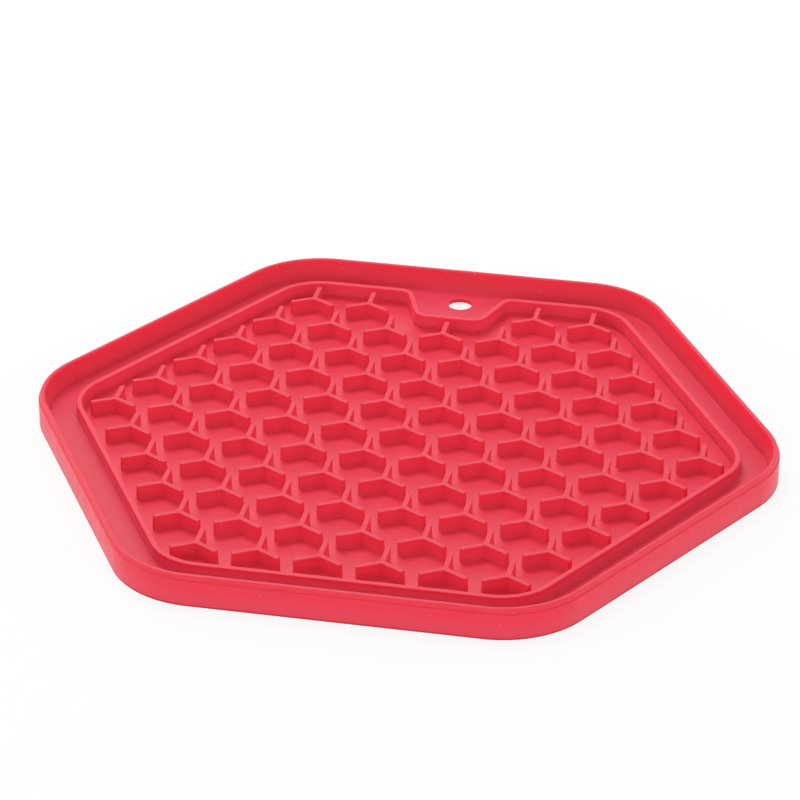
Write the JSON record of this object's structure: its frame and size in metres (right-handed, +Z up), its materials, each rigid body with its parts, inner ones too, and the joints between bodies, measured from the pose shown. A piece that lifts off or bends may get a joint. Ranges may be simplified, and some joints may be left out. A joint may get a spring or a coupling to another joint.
{
  "type": "lick mat",
  "caption": "Shallow hexagonal silicone lick mat for soft pet food, with Y-shaped ribs inside a low ridge, a spill channel, a raised rim and a hanging hole.",
  "frame": {"origin": "middle of the outline on the surface that the mat rests on", "axes": "+Z up out of the tray, +Y towards the hanging tab, +X to the right when the tab is at the back, along the longest corner-to-corner width"},
  "size_m": [0.2512, 0.2262, 0.0109],
  "materials": {
    "silicone_floor": "matte moulded silicone, red",
    "silicone_wall": "matte moulded silicone, red",
    "silicone_rib": "matte moulded silicone, red"
  },
  "bodies": {
    "root": {"licking_floor": "silicone_floor", "spill_channel": "silicone_floor", "hanging_tab": "silicone_floor", "inner_ridge": "silicone_wall", "outer_rim": "silicone_wall", "rib_row_01": "silicone_rib", "rib_row_02": "silicone_rib", "rib_row_03": "silicone_rib", "rib_row_04": "silicone_rib", "rib_row_05": "silicone_rib", "rib_row_06": "silicone_rib", "rib_row_07": "silicone_rib", "rib_row_08": "silicone_rib", "rib_row_09": "silicone_rib", "rib_row_10": "silicone_rib", "rib_row_11": "silicone_rib"}
  },
  "joints": []
}
